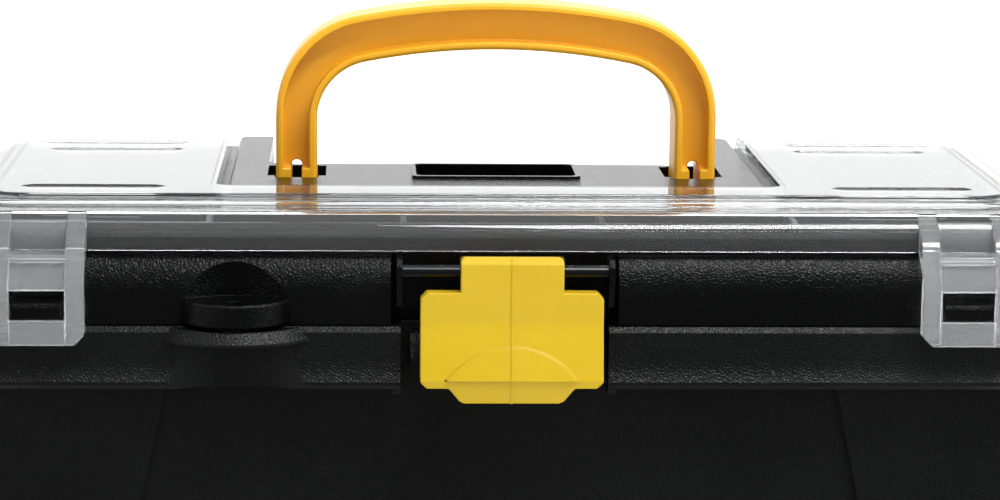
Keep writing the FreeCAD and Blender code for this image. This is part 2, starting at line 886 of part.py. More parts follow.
def catch_blocks():
    root = -(core_y + skirt_reach - lid_wall / 2)
    low = clip_window_bottom + catch_block_gap
    block_shape = prism([(root, low), (catch_block_front, low),
                         (catch_block_front, low + catch_block_height * catch_block_nose_share),
                         (catch_block_front + catch_block_gap, low + catch_block_height),
                         (root, low + catch_block_height * catch_block_root_share)], "yz",
                        clip_centre - catch_block_half, clip_centre + catch_block_half)
    return both(block_shape)


def eye_pocket():
    # arched hollow in the lid skirt above the padlock eye, and the wall behind it
    face = core_y + skirt_reach
    rise = eye_pocket_depth
    radius = (eye_pocket_half ** 2 + rise ** 2) / (2 * rise)
    centre = -(face - rise + radius)
    low = lid_bottom - overrun
    arch_z = eye_pocket_top - eye_pocket_half

    def shape(grow):
        half = eye_pocket_half + grow
        drum = Part.makeCylinder(radius + grow, ledge_top - low, Vec(eye_x, centre, low))
        arch = Part.makeCylinder(half, case_depth, Vec(eye_x, -case_depth, arch_z), Vec(0, 1, 0))
        below = block(eye_x - half, eye_x + half, -case_depth, 0, low, arch_z)
        return drum.common(arch.fuse(below))
    inside = skirt_fill(eye_x - overrun, eye_x + overrun)
    return shape(0), shape(eye_wall).common(inside)


def skirt_fill(x0, x1):
    # space behind the front skirt, out to the middle of the walls round it
    wall = -(core_y + bin_wall_reach - lid_wall / 2)
    face = [(-(core_y + reach), z, *rest) for reach, z, *rest in skirt_points(lid_wall / 2)]
    return prism(face + [(wall, face[-1][1]), (wall, lid_bottom)], "yz", x0, x1)


def lid_eye():
    centre = lid_eye_front + lid_eye_radius
    low = lid_bottom
    disc = Part.makeCylinder(lid_eye_radius, lid_eye_thickness - lid_eye_under_break,
                             Vec(eye_x, centre, low + lid_eye_under_break))
    under = Part.makeCone(lid_eye_radius - lid_eye_under_break, lid_eye_radius, lid_eye_under_break,
                          Vec(eye_x, centre, low))
    disc = break_edges(disc, eye_edge_break, lambda e: e.BoundBox.ZMin > low + lid_eye_thickness / 2)
    keep = block(eye_x - overrun, eye_x + overrun, -case_depth, -(core_y + bin_wall_reach - lid_wall / 2), low,
                 low + overrun)
    return join([disc, under]).common(keep)


def lid_knuckles():
    _, span = hinge_spans(lid_hinge_x, lid_knuckle, tub_knuckle)
    y, z, r = lid_hinge_y, lid_hinge_z, lid_knuckle_radius
    root = core_y + skirt_reach - lid_wall / 2
    under = lid_bottom + part_gap * 2
    web = prism([(root, under), (y - r / 2, under), (y + r / 2, under),
                 (y + r * knuckle_web_share, z + r * knuckle_fill_share),
                 (root, z + hinge_web_rise)], "yz", *span)
    middle = join([web, rod(*span, y, z, r)])
    bore = rod(lid_hinge_x - overrun, lid_hinge_x + overrun, y, z, lid_pin_radius + pin_play)
    return middle, bore


def cover_side_knuckles():
    # the lid's two knuckles of one cover hinge
    outer_spans, _ = hinge_spans(cover_hinge_x, cover_knuckle, side_knuckle)
    y, z, r = cover_hinge_y, cover_hinge_z, cover_knuckle_radius
    root = core_y + skirt_reach - lid_wall / 2
    shapes = []
    for x0, x1 in outer_spans:
        web = prism([(root - skirt_draw_in / 2, z - part_gap), (root - part_gap, z - cover_web_drop),
                     (y + r * knuckle_web_share, z - r * knuckle_fill_share), (y, z)], "yz", x0, x1)
        shapes += [web, rod(x0, x1, y, z, r)]
    return join(shapes), rod(cover_hinge_x - overrun, cover_hinge_x + overrun, y, z, cover_pin_radius + pin_fit)


def main_lid():
    opening, ears, rod_hole = lid_bay()
    pocket, pocket_wall = eye_pocket()
    well, recess_cuts = recess_shapes()
    slot_well, slot_cuts = slot_shapes()
    pocket_parts, pocket_cut = pocket_shapes()
    knuckle, bore = lid_knuckles()
    cover_knuckles, cover_bore = cover_side_knuckles()
    body = join([lid_shell()] + lid_floor() + deck_block() + [pocket_wall])
    body = cut(body, deck_hollow() + [opening, pocket])
    body = join([body, well] + both(slot_well) + pocket_parts + trough_walls() + divider_slots() + ears +
                catch_blocks() + [lid_eye()] + both(knuckle) + both(cover_knuckles))
    slots = [side for shape in slot_cuts for side in both(shape)]
    eye_hole = Part.makeCylinder(eye_hole_radius + eye_hole_lead, overrun / 2,
                                 Vec(eye_x, eye_y, lid_bottom - overrun / 4))
    return cut(body, recess_cuts + slots + [pocket_cut, rod_hole, eye_hole] + both(bore) + both(cover_bore))


def cover_face(inset):
    # curved wall of the cover from its free edge over the rounded shoulder on to the flange
    turn_in = cover_reach - shoulder_draw_in - flange_width
    return offset_line([(cover_reach, cover_bottom),
                        (cover_reach - cover_lean, cover_bottom + cover_knee_height, cover_knee_round),
                        (cover_reach - shoulder_draw_in, flange_top, shoulder_round),
                        (turn_in, flange_top)], inset)


def cover_rim():
    inner = [point[:2] for point in cover_face(cover_wall)]
    inner[0] = (inner[0][0], cover_bottom)
    return ring(cover_face(0) + inner[::-1])


def cover_plates():
    low = flange_top - cover_wall
    turn_in = cover_reach - shoulder_draw_in - flange_width + flange_overlap
    flange = plate(turn_in, low, flange_top)
    step = soft_plate(step_half_x, step_half_y, step_corner, low, flange_top + step_height, pad_edge_break)
    pads = soft_plate(pad_half_x, pad_half_y, pad_corner, low, cover_top, pad_edge_break)
    hollows = []
    for half_x, half_y, corner, high in ((step_half_x, step_half_y, step_corner, flange_top + step_height),
                                         (pad_half_x, pad_half_y, pad_corner, cover_top)):
        plan = rounded(half_x - cover_wall, half_y - cover_wall, corner - cover_wall)
        hollows.append(prism(plan, "xy", low - overrun, high - cover_wall))
    return [flange, step, pads], hollows


def window_points(grow):
    half = deck_half + pad_gap + grow
    front = strip_back - grow
    back = case_depth / 2 + overrun
    return [(half, front, window_corner), (half, back), (-half, back), (-half, front, window_corner)]


def groove(x0, x1, y):
    half = groove_width / 2
    turn = half * full_round_share
    return prism([(x0, y - half, turn), (x1, y - half, turn), (x1, y + half, turn), (x0, y + half, turn)], "xy",
                 cover_top - groove_depth, cover_top + overrun)


def clip_front_points(inset):
    # front edge of a clip seen from its side, from the cover's shoulder down to its foot
    drop = clip_top - clip_bottom
    run = clip_top_front - clip_front
    line = offset_line([(clip_top_front, clip_top),
                        (clip_top_front - run * clip_bow_share[0][0], clip_top - drop * clip_bow_share[0][1],
                         drop * clip_bow_round_share),
                        (clip_top_front - run * clip_bow_share[1][0], clip_top - drop * clip_bow_share[1][1],
                         drop * clip_bow_round_share),
                        (clip_front, clip_bottom)], inset)
    line[-1] = (line[-1][0], clip_bottom)
    return line


def clip_sheet(front_inset, back_inset, z0, z1):
    # wall between the rails of a clip, following their front edge
    sheet = prism(clip_front_points(front_inset) + clip_front_points(back_inset)[::-1], "yz",
                  clip_centre - clip_window_half, clip_centre + clip_window_half)
    return sheet.common(clip_middle(z0, z1))


def clip_middle(z0, z1):
    return block(clip_centre - clip_window_half, clip_centre + clip_window_half, -case_depth, 0, z0, z1)


def clip():
    # one snap clip: side rails, curved panel, window and cross bar
    x0, x1 = clip_centre - clip_half, clip_centre + clip_half
    edge_y = -(core_y + cover_reach) + cover_wall / 2
    back_y = clip_front + clip_side_depth
    profile = clip_front_points(0) + [
        (back_y, clip_bottom), (back_y - part_gap, cover_bottom - clip_side_depth),
        (edge_y, cover_bottom - part_gap), (edge_y + cover_lean, cover_bottom + cover_knee_height),
        (clip_top_front + part_gap, clip_top - cover_wall / 2)]
    whole = prism(profile, "yz", x0, x1)
    ledge = whole.common(clip_middle(clip_panel_top - clip_wall, clip_panel_top))
    rails = whole.cut(clip_middle(clip_bottom - overrun, clip_top + overrun))
    panel = clip_sheet(clip_panel_back, clip_panel_back + clip_wall, clip_window_top, clip_panel_top)
    bar = clip_sheet(0, clip_wall, clip_bottom, clip_window_bottom)
    high = clip_top + overrun
    keep = prism([(x0 + clip_chamfer, clip_bottom), (x1 - clip_chamfer, clip_bottom),
                  (x1, clip_bottom + clip_chamfer), (x1, high), (x0, high),
                  (x0, clip_bottom + clip_chamfer)], "xz", -case_depth, 0)
    return join([rails, ledge, panel, bar]).common(keep)


def cover_knuckles():
    _, span = hinge_spans(cover_hinge_x, cover_knuckle, side_knuckle)
    y, z, r = cover_hinge_y, cover_hinge_z, cover_knuckle_radius
    root = core_y + cover_reach - cover_wall / 2
    web = prism([(root, cover_bottom), (y, z), (y + r * knuckle_web_share, z + r * knuckle_fill_share),
                 (root - cover_lean, cover_bottom + cover_web_rise)], "yz", *span)
    bore = rod(cover_hinge_x - overrun, cover_hinge_x + overrun, y, z, cover_pin_radius + pin_play)
    return join([web, rod(*span, y, z, r)]), bore


def clear_cover():
    plates, hollows = cover_plates()
    knuckle, bore = cover_knuckles()
    body = cut(join([cover_rim()] + plates), hollows)
    window = prism(window_points(0), "xy", cover_bottom - overrun, cover_top + overrun)
    lip = prism(window_points(cover_wall), "xy", cover_lip_bottom, cover_top - cover_wall / 2)
    inside = block(-case_length, case_length, -core_y, core_y + cover_reach - shoulder_draw_in,
                   cover_bottom, cover_top)
    body = join([body, lip.common(inside).cut(window)]).cut(window)
    body = cut(body, [side for row in groove_rows for side in both(groove(*row))])
    body = join([body] + both(clip()) + both(knuckle))
    return cut(body, both(bore))


def latch_front_points(inset):
    # front of the latch seen from its side: straight, then kicked out over the thumb tab
    kick = latch_front - latch_kick
    line = offset_line([(latch_front, latch_top), (latch_front, latch_kick_start, latch_kick_round),
                        (kick, latch_bottom + latch_wall, latch_edge_round),
                        (kick + latch_kick / 3, latch_foot)], inset)
    line[-1] = (line[-1][0], latch_foot)
    return line


def latch_plan(inset):
    corner = max(latch_corner - inset / 2, latch_corner / 2)
    right = [(latch_neck_half - inset, latch_top - inset, corner),
             (latch_neck_half - inset, latch_shoulder - inset),
             (latch_half - inset, latch_shoulder - inset, corner),
             (latch_half - inset, latch_bottom + inset, corner),
             (latch_foot_wide - inset / 2, latch_bottom + inset),
             (latch_foot_half - inset, latch_foot + inset, corner)]
    left = [(-p[0], *p[1:]) for p in reversed(right)]
    return right + left


def thumb_tab():
    # low arched swell that the thumb pulls on
    half = thumb_width / 2
    radius = (half ** 2 + thumb_rise ** 2) / (2 * thumb_rise)
    base = latch_bottom + latch_wall
    centre = base + thumb_rise - radius
    drum = Part.makeCylinder(radius, case_depth, Vec(0, -case_depth, centre), Vec(0, 1, 0))
    keep = block(-half, half, -case_depth, 0, base, base + thumb_rise)
    face, back = latch_front_points(-thumb_depth), latch_front_points(latch_wall / 2)
    return prism(face + back[::-1], "yz", -half, half).common(drum).common(keep)


def front_latch():
    depth_back = latch_front + latch_side_depth
    front = latch_front_points(0)
    front[0] += (latch_top_round,)
    body = prism(front + [(depth_back, latch_foot), (depth_back, latch_pivot_z + latch_barrel)], "yz",
                 -latch_half, latch_half).common(prism(latch_plan(0), "xz", -case_depth, 0))
    hollow = prism(latch_front_points(latch_wall) + [(0, latch_foot), (0, latch_top)], "yz",
                   -latch_half, latch_half).common(prism(latch_plan(latch_wall), "xz", -case_depth, 0))
    inner_front = latch_front - latch_kick + latch_wall / 2
    hook = block(-hook_half, hook_half, inner_front, hook_end, hook_top - hook_thickness, hook_top)
    rib_back = -(core_y + wall_reach(catch_bottom) + catch_reach + 2 * slide_gap)
    rib = prism([(inner_front, hook_top - hook_thickness), (rib_back, hook_top - hook_thickness),
                 (rib_back, hook_top + hook_rib), (inner_front + latch_wall, hook_top + hook_rib_rise)],
                "yz", hook_half - hook_rib, hook_half)
    barrel = rod(-latch_neck_half, latch_neck_half, latch_pivot_y, latch_pivot_z, latch_barrel)
    body = join([body.cut(hollow), thumb_tab(), hook, barrel] + both(rib))
    bore = rod(-overrun, overrun, latch_pivot_y, latch_pivot_z, latch_pin_radius + pin_play)
    # the latch has side play on its rod and rests a little to the right
    return body.cut(bore).translated(Vec(latch_slide, 0, 0))


def arch_points(half, top, crown, corner):
    # one arch of the handle as corner arcs tangent to the crown, on the XZ plane
    reach = crown - corner
    cx = half - corner
    cz = top - crown + math.sqrt(reach ** 2 - cx ** 2)
    angle = math.atan2(cz - (top - crown), cx)
    touch = (cx + corner * math.cos(angle), cz + corner * math.sin(angle))
    mid_angle = angle / 2
    middle = (cx + corner * math.cos(mid_angle), cz + corner * math.sin(mid_angle))
    return (half, cz), middle, touch


def arch_face(half, top, crown, corner, foot, y):
    start, middle, touch = arch_points(half, top, crown, corner)

    def p(u, v):
        return Vec(u, y, v)
    edges = [Part.LineSegment(p(half, foot), p(*start)).toShape(),
             Part.Arc(p(*start), p(*middle), p(*touch)).toShape(),
             Part.Arc(p(*touch), p(0, top), p(-touch[0], touch[1])).toShape(),
             Part.Arc(p(-touch[0], touch[1]), p(-middle[0], middle[1]), p(-half, start[1])).toShape(),
             Part.LineSegment(p(-half, start[1]), p(-half, foot)).toShape(),
             Part.LineSegment(p(-half, foot), p(half, foot)).toShape()]
    return Part.Face(Part.Wire(edges))


def handle_band(grow_out, grow_in, foot, y0, y1):
    # arch between the outer line set in and the inner line set out
    outer = arch_face(handle_half - grow_out, handle_top - grow_out, handle_crown_radius - grow_out,
                      handle_corner_radius - grow_out, foot, y0)
    inner = arch_face(handle_half - leg_width + grow_in, handle_top - grip_height + grow_in,
                      handle_crown_radius - grip_height + grow_in, handle_inner_corner + grow_in, foot, y0)
    return outer.extrude(Vec(0, y1 - y0, 0)).cut(inner.extrude(Vec(0, y1 - y0, 0)))


def carry_handle():
    y0 = handle_pivot_y - handle_depth / 2
    y1 = handle_pivot_y + handle_depth / 2
    foot = handle_pivot_z
    body = handle_band(0, 0, foot, y0, y1)
    body = break_edges(body, handle_edge_break, lambda e: long_arch_edge(e, y0, y1, foot))
    ends = []
    for side in (-1, 1):
        x0, x1 = sorted((side * handle_half, side * (handle_half - leg_width)))
        ends.append(rod(x0, x1, handle_pivot_y, handle_pivot_z, handle_depth / 2))
        ends.append(rod(x0 - trunnion_reach, x1 + trunnion_reach, handle_pivot_y, handle_pivot_z,
                        trunnion_radius))
    body = join([body] + ends)
    recess = (handle_depth - web_thickness) / 2
    channel_foot = foot + channel_end
    front = handle_band(flange_thickness, flange_thickness, channel_foot, y0 - overrun, y0 + recess)
    rear = handle_band(flange_thickness, flange_thickness, channel_foot, y1 - recess, y1 + overrun)
    slits = []
    for side in (-1, 1):
        x = side * (handle_half - leg_width / 2)
        half = slit_width / 2
        low = handle_pivot_z - handle_depth
        slits.append(block(x - half, x + half, y0 - overrun, y1 + overrun, low, slit_top - half))
        slits.append(rod_along_y(x, slit_top - half, y0 - overrun, y1 + overrun, half))
    return cut(body, [front, rear] + slits)


def long_arch_edge(edge, y0, y1, foot):
    box = edge.BoundBox
    flat = abs(box.YMin - box.YMax) < 1e-6 and (abs(box.YMin - y0) < 1e-6 or abs(box.YMin - y1) < 1e-6)
    return flat and box.ZMax > foot + 1e-3


def tray_shell(inset, z0, z1):
    # tapered box between two heights, inside the tray's outer faces by the inset
    def loop(z):
        half_x, half_y = tray_half(z)
        return outline(rounded(half_x - inset, half_y - inset, tray_corner), "xy", z)
    return Part.makeLoft([loop(z0), loop(z1)], True, True)


def tray_half(z):
    # half length and half width of the tray at a height
    narrow = tray_taper * (tray_bottom + tray_height - z) / tray_height
    return (core_x + wall_reach(tray_bottom) - tub_wall - tray_gap_x - narrow,
            core_y + wall_reach(tray_bottom) - tub_wall - tray_gap_y - narrow)


def tray_grip():
    # upright web with a thicker bar on top, and the slot for the fingers
    high = tray_grip_height - tray_slot_top_gap
    low = high - tray_slot_height
    turn, bar_turn = tray_slot_height / 3, tray_slot_top_gap * full_round_share
    web = prism([(-tray_grip_half, tray_bottom), (tray_grip_half, tray_bottom),
                 (tray_grip_half, tray_grip_height, tray_grip_corner),
                 (-tray_grip_half, tray_grip_height, tray_grip_corner)], "xz", -tray_web / 2, tray_web / 2)
    bar = prism([(-tray_grip_half, high), (tray_grip_half, high), (tray_grip_half, tray_grip_height, bar_turn),
                 (-tray_grip_half, tray_grip_height, bar_turn)], "xz", -tray_grip_bar / 2, tray_grip_bar / 2)
    slot = prism([(-tray_slot_half, low, turn), (tray_slot_half, low, turn), (tray_slot_half, high, turn),
                  (-tray_slot_half, high, turn)], "xz", -overrun, overrun)
    return [web, bar], slot


def tray_cells(half_x, half_y, top):
    # walls that part the tray into five cells
    low = tray_bottom + tray_wall / 2
    walls = [block(-half_x, half_x, -tray_web / 2, tray_web / 2, low, top)]
    for share in rear_cell_share:
        x = share * half_x
        walls.append(block(x - tray_web / 2, x + tray_web / 2, 0, half_y, low, top))
    for share in front_cell_share:
        x = share * half_x
        walls.append(block(x - tray_web / 2, x + tray_web / 2, -half_y, 0, low, top))
    return walls


def tote_tray():
    top = tray_bottom + tray_height
    half_x, half_y = tray_half(top)
    lip = prism(rounded(half_x + tray_lip, half_y + tray_lip, tray_corner + tray_lip), "xy",
                top - tray_lip_height, top)
    above = prism(rounded(half_x - tray_wall, half_y - tray_wall, tray_corner), "xy", top, top + overrun)
    body = join([tray_shell(0, tray_bottom, top), lip])
    body = cut(body, [tray_shell(tray_wall, tray_bottom + tray_wall, top), above])
    grip, slot = tray_grip()
    inner_x, inner_y = tray_half(tray_bottom)
    cells = tray_cells(inner_x - tray_wall / 2, inner_y - tray_wall / 2, top - tray_lip_height)
    return join([body] + grip + cells).cut(slot)


def divider(side, y):
    # removable divider of one side bin, with a dip for the finger
    inner = shoulder_half + divider_side_gap
    outer = core_x + bin_wall_reach - lid_wall - divider_side_gap
    low = bin_floor_top + part_gap / 2
    high = low + divider_height
    middle = (inner + outer) / 2
    plate_shape = prism([(inner, low), (outer, low), (outer, high),
                         (middle + divider_tab_half + divider_dip, high),
                         (middle + divider_tab_half, high - divider_dip),
                         (middle - divider_tab_half, high - divider_dip),
                         (middle - divider_tab_half - divider_dip, high), (inner, high)], "xz",
                        y - divider_thickness / 2, y + divider_thickness / 2)
    return plate_shape if side > 0 else flip(plate_shape)


def hinge_pin(side, centre, middle, side_length, y, z, radius):
    (x0, _), (_, x1) = hinge_spans(centre, middle, side_length)[0]
    pin = rod(x0, x1, y, z, radius)
    return pin if side > 0 else flip(pin)


def build_all():
    nodes = {
        "base_tub": base_tub(),
        "main_lid": main_lid(),
        "clear_cover": clear_cover(),
        "front_latch": front_latch(),
        "carry_handle": carry_handle(),
        "tote_tray": tote_tray(),
        "latch_rod": rod(-latch_pin_half, latch_pin_half, latch_pivot_y, latch_pivot_z, latch_pin_radius),
    }
    for side, name in ((-1, "left"), (1, "right")):
        nodes["lid_hinge_pin_" + name] = hinge_pin(side, lid_hinge_x, lid_knuckle, tub_knuckle,
                                                   lid_hinge_y, lid_hinge_z, lid_pin_radius)
        nodes["cover_hinge_pin_" + name] = hinge_pin(side, cover_hinge_x, cover_knuckle, side_knuckle,
                                                     cover_hinge_y, cover_hinge_z, cover_pin_radius)
        for place, y in zip(("front", "rear"), divider_places):
            nodes["bin_divider_" + name + "_" + place] = divider(side, y)
    return nodes


os.makedirs("parts", exist_ok=True)
for node, shape in build_all().items():
    solids = shape.Solids
    shape = solids[0] if len(solids) == 1 else shape
    print(node, "solids", len(solids), "valid", shape.isValid(), "volume", round(shape.Volume, 1))
    shape.exportStep("parts/" + node + ".step")
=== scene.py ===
import bpy
import json
import math
from mathutils import Matrix, Vector

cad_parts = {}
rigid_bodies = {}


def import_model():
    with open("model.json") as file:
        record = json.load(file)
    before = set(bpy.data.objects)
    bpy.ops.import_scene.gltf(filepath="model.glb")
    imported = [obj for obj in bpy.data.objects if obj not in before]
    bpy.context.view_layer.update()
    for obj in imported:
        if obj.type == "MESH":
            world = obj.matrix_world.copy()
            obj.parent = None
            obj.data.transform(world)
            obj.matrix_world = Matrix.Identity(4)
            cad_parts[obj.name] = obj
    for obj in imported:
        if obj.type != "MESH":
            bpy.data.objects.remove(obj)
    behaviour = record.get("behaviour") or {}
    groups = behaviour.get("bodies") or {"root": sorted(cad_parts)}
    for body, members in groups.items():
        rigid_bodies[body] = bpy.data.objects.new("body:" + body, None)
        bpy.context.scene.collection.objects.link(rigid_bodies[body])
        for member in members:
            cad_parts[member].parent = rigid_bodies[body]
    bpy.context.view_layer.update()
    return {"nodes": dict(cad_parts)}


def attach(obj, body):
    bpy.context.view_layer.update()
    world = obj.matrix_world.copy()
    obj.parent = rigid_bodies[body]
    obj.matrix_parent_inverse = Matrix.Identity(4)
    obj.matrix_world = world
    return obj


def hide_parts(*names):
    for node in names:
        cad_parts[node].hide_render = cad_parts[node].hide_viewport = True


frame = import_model()
nodes = frame["nodes"]
mm = 0.001

bpy.ops.object.select_all(action="DESELECT")
scene = bpy.context.scene
scene.view_settings.view_transform = "Standard"


cameraView = {
    "place": (-0.04758, -1.01839, 0.31791),
    "right": (0.99883434, -0.04680594, 0.0117972),
    "up": (-0.00302146, 0.183296, 0.98305313),
    "ahead": (0.04817511, 0.98194286, -0.18294092),
    "lens": 108.0, "sensor": 36.0, "clipStart": 0.05,
}


def addCamera(view):
    turn = Matrix((view["right"], view["up"], -Vector(view["ahead"]))).transposed()
    bpy.ops.object.camera_add(location=view["place"], rotation=turn.to_euler())
    camera = bpy.context.object
    camera.name = "photoCamera"
    camera.data.lens = view["lens"]
    camera.data.sensor_width = view["sensor"]
    camera.data.clip_start = view["clipStart"]
    scene.camera = camera


studio = {
    "floorHalf": 6.0, "floorColor": (0.90, 0.90, 0.90, 1), "floorRoughness": 0.9,
    "frontSky": 0.2, "backSky": 1.5, "depthSpan": (-0.7, 0.5),
    "topSky": 0.9, "riseSpan": (0.35, 0.9),
}

lamps = [
    # name, place, aim, width, height, watts, color
    ("topSoftbox", (0.35, -0.5, 1.05), (0.08, -0.05, 0.13), 0.75, 0.28, 13, (1.0, 1.0, 1.0)),
    ("leftSoftbox", (-1.2, -1.1, 0.5), (0.0, 0.0, 0.1), 0.8, 0.8, 2.0, (1.0, 0.99, 0.97)),
    ("rightSoftbox", (1.25, -0.9, 0.55), (0.0, 0.0, 0.1), 0.8, 0.8, 4.6, (0.90, 0.95, 1.0)),
    ("backSoftbox", (0.0, 2.4, 2.2), (0.0, 2.0, 0.0), 2.6, 1.6, 75, (1.0, 1.0, 1.0)),
]


def newMaterial(name):
    material = bpy.data.materials.new(name)
    material.use_nodes = True
    return material, material.node_tree.nodes["Principled BSDF"]


def addFloor():
    bpy.ops.mesh.primitive_plane_add(size=2 * studio["floorHalf"], location=(0, 0, 0))
    floor = bpy.context.object
    floor.name = "floor"
    floor.data.name = "floor"
    material, shader = newMaterial("floorPaper")
    shader.inputs["Base Color"].default_value = studio["floorColor"]
    shader.inputs["Roughness"].default_value = studio["floorRoughness"]
    floor.data.materials.append(material)
    floor.visible_glossy = False  # the walls mirror the dim front of the studio, as in the photo


def addLamp(name, place, aim, width, height, watts, color):
    direction = Vector(aim) - Vector(place)
    bpy.ops.object.light_add(type="AREA", location=place,
                             rotation=direction.to_track_quat("-Z", "Y").to_euler())
    lamp = bpy.context.object
    lamp.name = name
    lamp.data.shape = "RECTANGLE"
    lamp.data.size = width
    lamp.data.size_y = height
    lamp.data.energy = watts
    lamp.data.color = color


def mapped(tree, value, span, ends, kind="LINEAR"):
    # a value that runs over the span, mapped to run between the two ends
    ranged = tree.nodes.new("ShaderNodeMapRange")
    ranged.interpolation_type = kind
    ranged.inputs["From Min"].default_value = span[0]
    ranged.inputs["From Max"].default_value = span[1]
    ranged.inputs["To Min"].default_value = ends[0]
    ranged.inputs["To Max"].default_value = ends[1]
    tree.links.new(value, ranged.inputs["Value"])
    return ranged.outputs["Result"]


def coordinateParts(tree, kind):
    place = tree.nodes.new("ShaderNodeTexCoord")
    parts = tree.nodes.new("ShaderNodeSeparateXYZ")
    tree.links.new(place.outputs[kind], parts.inputs[0])
    return parts.outputs


def setSky():
    # a white studio: bright behind the case, less bright above it and dim in front of it
    world = bpy.data.worlds.new("studioSky")
    scene.world = world
    world.use_nodes = True
    tree = world.node_tree
    back = tree.nodes["Background"]
    parts = coordinateParts(tree, "Generated")
    depth = mapped(tree, parts["Y"], studio["depthSpan"],
                   (studio["frontSky"], studio["backSky"]), "SMOOTHSTEP")
    rise = mapped(tree, parts["Z"], studio["riseSpan"], (0.0, 1.0), "SMOOTHSTEP")
    mix = tree.nodes.new("ShaderNodeMix")
    tree.links.new(rise, mix.inputs["Factor"])
    tree.links.new(depth, mix.inputs[2])
    mix.inputs[3].default_value = studio["topSky"]
    tree.links.new(mix.outputs[0], back.inputs["Strength"])
    back.inputs["Color"].default_value = (1, 1, 1, 1)


grainParts = {
    "perMetre": 1000.0, "cellSize": 1.1, "sandSize": 0.35, "sandShare": 0.35,
    "warpScale": 420.0, "warpDetail": 2.0, "warpPush": (0.0016, 0.0016, 0.0016),
    "domeSpan": (0.0, 0.32), "sandDetail": 3.0,
    "wornScale": 14.0, "wornDetail": 5.0,
}


def newSocket(group, name, way, value=None):
    socket = group.interface.new_socket(name=name, in_out=way, socket_type="NodeSocketFloat")
    if value is not None:
        socket.default_value = value


def makeGrainGroup(parts):
    # moulded leather grain: wrinkled cells with a finer sand on top, out as a height and a mask
    group = bpy.data.node_groups.new("mouldGrain", "ShaderNodeTree")
    newSocket(group, "Cell Size", "INPUT", parts["cellSize"])
    newSocket(group, "Sand Size", "INPUT", parts["sandSize"])
    newSocket(group, "Sand Share", "INPUT", parts["sandShare"])
    newSocket(group, "Height", "OUTPUT")
    newSocket(group, "Worn", "OUTPUT")
    addNode = group.nodes.new
    link = group.links.new
    entry = addNode("NodeGroupInput")
    leave = addNode("NodeGroupOutput")
    place = addNode("ShaderNodeTexCoord")

    def scaleFrom(socket):
        divide = addNode("ShaderNodeMath")
        divide.operation = "DIVIDE"
        divide.inputs[0].default_value = parts["perMetre"]
        link(entry.outputs[socket], divide.inputs[1])
        return divide.outputs[0]

    def addNoise(detail):
        noise = addNode("ShaderNodeTexNoise")
        noise.inputs["Detail"].default_value = detail
        link(place.outputs["Object"], noise.inputs["Vector"])
        return noise

    warp = addNoise(parts["warpDetail"])
    warp.inputs["Scale"].default_value = parts["warpScale"]
    push = addNode("ShaderNodeVectorMath")
    push.operation = "MULTIPLY_ADD"
    link(warp.outputs["Color"], push.inputs[0])
    push.inputs[1].default_value = parts["warpPush"]
    link(place.outputs["Object"], push.inputs[2])

    cells = addNode("ShaderNodeTexVoronoi")
    cells.feature = "DISTANCE_TO_EDGE"
    link(push.outputs[0], cells.inputs["Vector"])
    link(scaleFrom("Cell Size"), cells.inputs["Scale"])
    dome = mapped(group, cells.outputs["Distance"], parts["domeSpan"], (0.0, 1.0), "SMOOTHSTEP")

    sand = addNoise(parts["sandDetail"])
    link(scaleFrom("Sand Size"), sand.inputs["Scale"])
    blend = addNode("ShaderNodeMix")
    link(entry.outputs["Sand Share"], blend.inputs["Factor"])
    link(dome, blend.inputs[2])
    link(sand.outputs["Fac"], blend.inputs[3])
    link(blend.outputs[0], leave.inputs["Height"])

    patches = addNoise(parts["wornDetail"])
    patches.inputs["Scale"].default_value = parts["wornScale"]
    link(patches.outputs["Fac"], leave.inputs["Worn"])
    return group


maskSpan = (0.3, 0.7)
edgeBreak = {"radius": 0.5, "samples": 4}


def addGrain(tree, look):
    grain = tree.nodes.new("ShaderNodeGroup")
    grain.node_tree = grainGroup
    grain.inputs["Cell Size"].default_value = look["cell"]
    grain.inputs["Sand Size"].default_value = look["sand"]
    grain.inputs["Sand Share"].default_value = look["sandShare"]
    bump = tree.nodes.new("ShaderNodeBump")
    bump.inputs["Distance"].default_value = look["depth"] * mm
    bump.inputs["Strength"].default_value = look["strength"]
    tree.links.new(grain.outputs["Height"], bump.inputs["Height"])
    edge = tree.nodes.new("ShaderNodeBevel")
    edge.samples = edgeBreak["samples"]
    edge.inputs["Radius"].default_value = edgeBreak["radius"] * mm
    tree.links.new(edge.outputs["Normal"], bump.inputs["Normal"])
    return grain, bump


def colorSpread(tree, value, low, high):
    ramp = tree.nodes.new("ShaderNodeValToRGB")
    for stop, position, color in zip(ramp.color_ramp.elements, maskSpan, (low, high)):
        stop.position = position
        stop.color = color
    tree.links.new(value, ramp.inputs["Fac"])
    return ramp.outputs["Color"]


def polishAbove(tree, value, height, share):
    # the deck is smoother than the walls below it
    heights = coordinateParts(tree, "Object")["Z"]
    step = mapped(tree, heights, (height - mm, height + mm), (1.0, share))
    scale = tree.nodes.new("ShaderNodeMath")
    scale.operation = "MULTIPLY"
    tree.links.new(value, scale.inputs[0])
    tree.links.new(step, scale.inputs[1])
    return scale.outputs[0]


